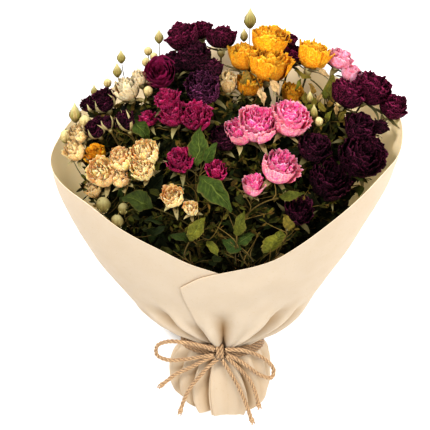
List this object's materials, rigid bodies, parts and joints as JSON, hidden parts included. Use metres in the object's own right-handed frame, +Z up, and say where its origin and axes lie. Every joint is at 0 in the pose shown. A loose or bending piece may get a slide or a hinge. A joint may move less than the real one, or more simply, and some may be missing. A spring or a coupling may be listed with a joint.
{
  "type": "mixed flower bouquet",
  "caption": "Bouquet of dried spray roses with buds and leaves, wrapped in a paper cone gathered at the neck and tied with a twine bow, lying on its back.",
  "frame": {"origin": "on the flat patch of paper that the bouquet lies on, below its weight", "axes": "+Y along the surface toward the flower heads, +X to the right seen from above with the flowers up the view, +Z up from the surface"},
  "size_m": [0.2844, 0.3459, 0.1672],
  "materials": {
    "paper": "matt cream wrapping paper",
    "twine": "twisted jute",
    "stems_and_leaves": "dry green stems and leaves",
    "petals_burgundy": "dry petals",
    "petals_darkest": "dry petals",
    "petals_magenta": "dry petals",
    "petals_yellow": "dry petals",
    "petals_pink": "dry petals",
    "petals_pale_pink": "dry petals",
    "petals_cream": "dry petals",
    "petals_ivory": "dry petals"
  },
  "bodies": {
    "root": {"paper_wrap": "paper", "twine_binding": "twine", "twine_knot": "twine", "twine_loop_left": "twine", "twine_loop_right": "twine", "twine_end_1": "twine", "twine_end_2": "twine", "twine_end_3": "twine", "twine_end_4": "twine", "spray_burgundy_top": "stems_and_leaves", "spray_purple_back": "stems_and_leaves", "spray_magenta_upper": "stems_and_leaves", "spray_burgundy_left": "stems_and_leaves", "spray_ivory_top": "stems_and_leaves", "spray_ivory_left": "stems_and_leaves", "spray_cream": "stems_and_leaves", "spray_cream_front": "stems_and_leaves", "spray_yellow": "stems_and_leaves", "spray_yellow_right": "stems_and_leaves", "spray_pink": "stems_and_leaves", "spray_pink_low": "stems_and_leaves", "spray_dark_right": "stems_and_leaves", "spray_darkest": "stems_and_leaves", "spray_magenta_middle": "stems_and_leaves", "spray_leafy_front": "stems_and_leaves", "bloom_burgundy_top": "petals_burgundy", "bloom_burgundy_stem": "petals_burgundy", "bloom_purple_back": "petals_darkest", "bloom_purple_middle": "petals_darkest", "bloom_burgundy_round": "petals_burgundy", "bloom_magenta_upper": "petals_magenta", "bloom_magenta_dim": "petals_magenta", "bloom_burgundy_left": "petals_darkest", "bloom_dark_left": "petals_darkest", "bloom_dark_bud": "petals_darkest", "bloom_ivory_top": "petals_ivory", "bloom_ivory_left": "petals_ivory", "bloom_ivory_low": "petals_ivory", "bloom_cream": "petals_cream", "bloom_yellow_left": "petals_yellow", "bloom_cream_front": "petals_cream", "bloom_cream_small": "petals_cream", "bloom_yellow": "petals_yellow", "bloom_ivory_back": "petals_ivory", "bloom_yellow_right": "petals_yellow", "bloom_yellow_dim": "petals_yellow", "bloom_burgundy_back": "petals_burgundy", "bloom_pale_pink": "petals_pale_pink", "bloom_pink": "petals_pink", "bloom_pink_low": "petals_pink", "bloom_pink_side": "petals_pink", "bloom_purple_right": "petals_burgundy", "bloom_purple_shade": "petals_darkest", "bloom_darkest": "petals_darkest", "bloom_darkest_low": "petals_darkest", "bloom_dark_middle": "petals_darkest", "bloom_magenta_middle": "petals_magenta", "bloom_magenta_low": "petals_magenta", "bloom_dark_behind": "petals_darkest"}
  },
  "joints": []
}
